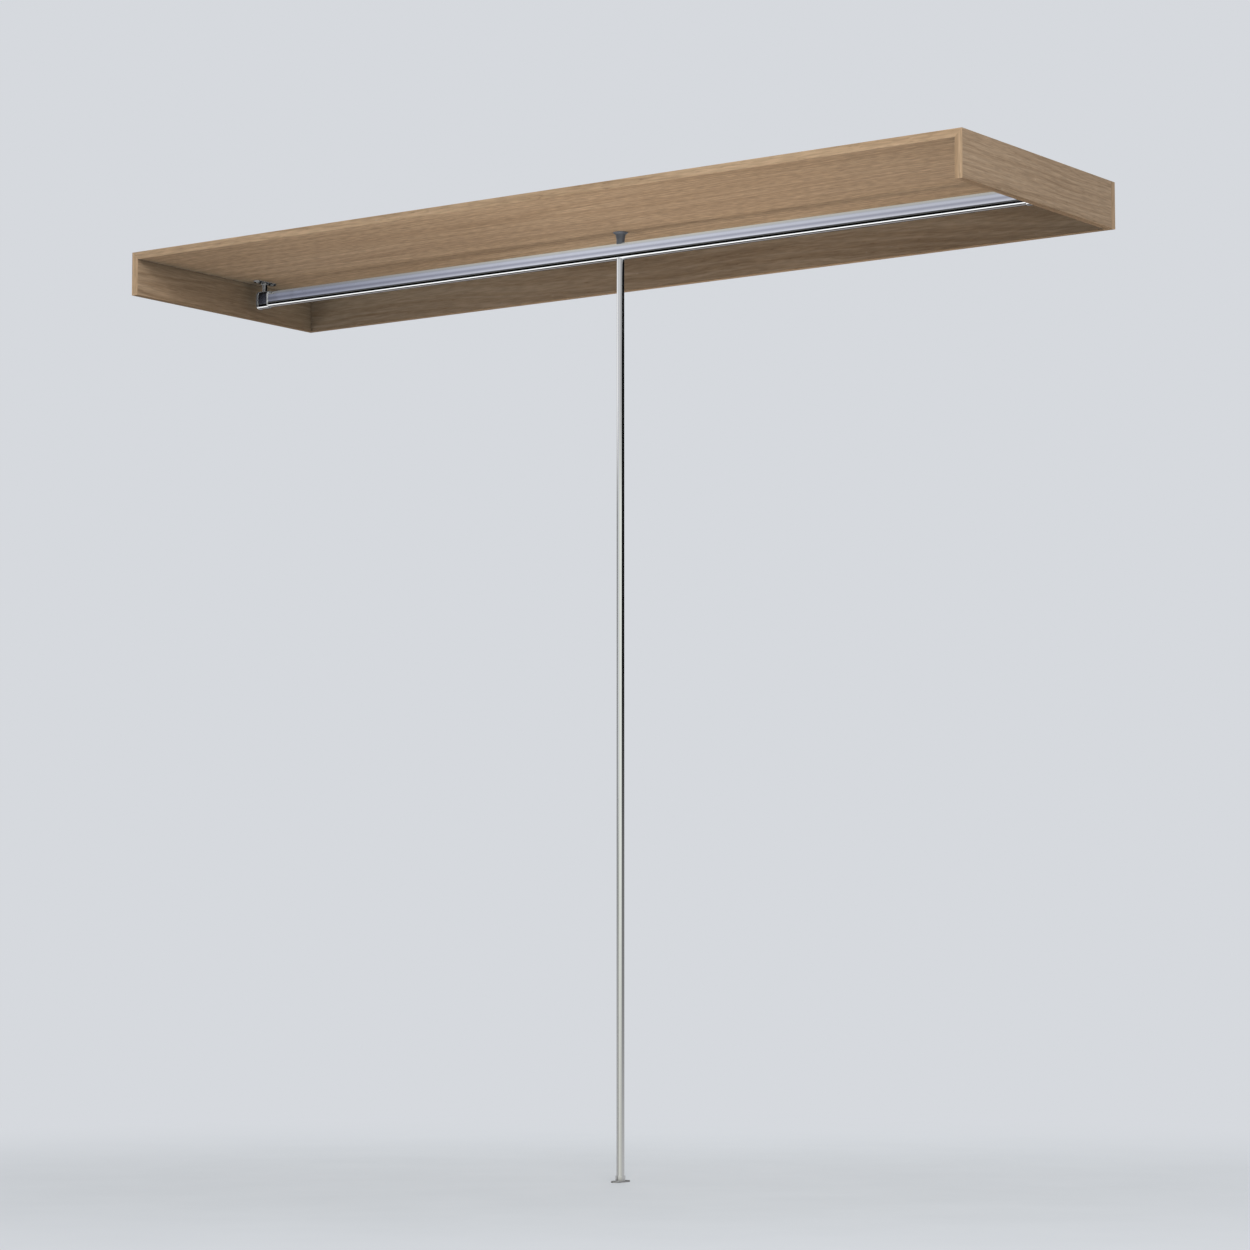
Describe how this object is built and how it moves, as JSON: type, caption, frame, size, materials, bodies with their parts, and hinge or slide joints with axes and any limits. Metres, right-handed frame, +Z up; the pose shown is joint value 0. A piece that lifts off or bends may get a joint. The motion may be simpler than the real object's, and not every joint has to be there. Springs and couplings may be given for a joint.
{
  "type": "closet shelf with hanging rod",
  "caption": "Wide oak shelf box, open below and in front, with an oval chrome hanging rod on eared end brackets, held at mid width by a slim floor pole.",
  "frame": {"origin": "floor level under the pole: centre of the two floor screw holes in the pole foot's underside", "axes": "+X along the shelf, to the right seen from the front; +Y from the front towards the wall; +Z up"},
  "size_m": [2.1, 0.6, 2],
  "materials": {
    "oak_veneer": "matt lacquered oak veneer, grain along the board",
    "oak_edging": "matt lacquered oak edging",
    "beech": "raw beech",
    "chrome": "polished",
    "zinc_steel": "bright zinc plate",
    "grey_metal": "satin dark grey"
  },
  "bodies": {
    "root": {"top_board": "oak_veneer", "left_side_board": "oak_veneer", "right_side_board": "oak_veneer", "back_board": "oak_veneer", "top_front_edging": "oak_edging", "left_front_edging": "oak_edging", "right_front_edging": "oak_edging", "left_bottom_edging": "oak_edging", "right_bottom_edging": "oak_edging", "back_bottom_edging": "oak_edging", "back_left_edging": "oak_edging", "back_right_edging": "oak_edging", "back_top_edging": "oak_edging", "mitre_biscuits": "beech", "back_biscuits": "beech", "hanging_rod": "chrome", "left_rod_bracket": "chrome", "right_rod_bracket": "chrome", "bracket_screws": "zinc_steel", "centre_cone": "grey_metal", "centre_stud": "zinc_steel", "pole_plug": "chrome", "floor_pole": "chrome", "pole_foot": "chrome"}
  },
  "joints": []
}
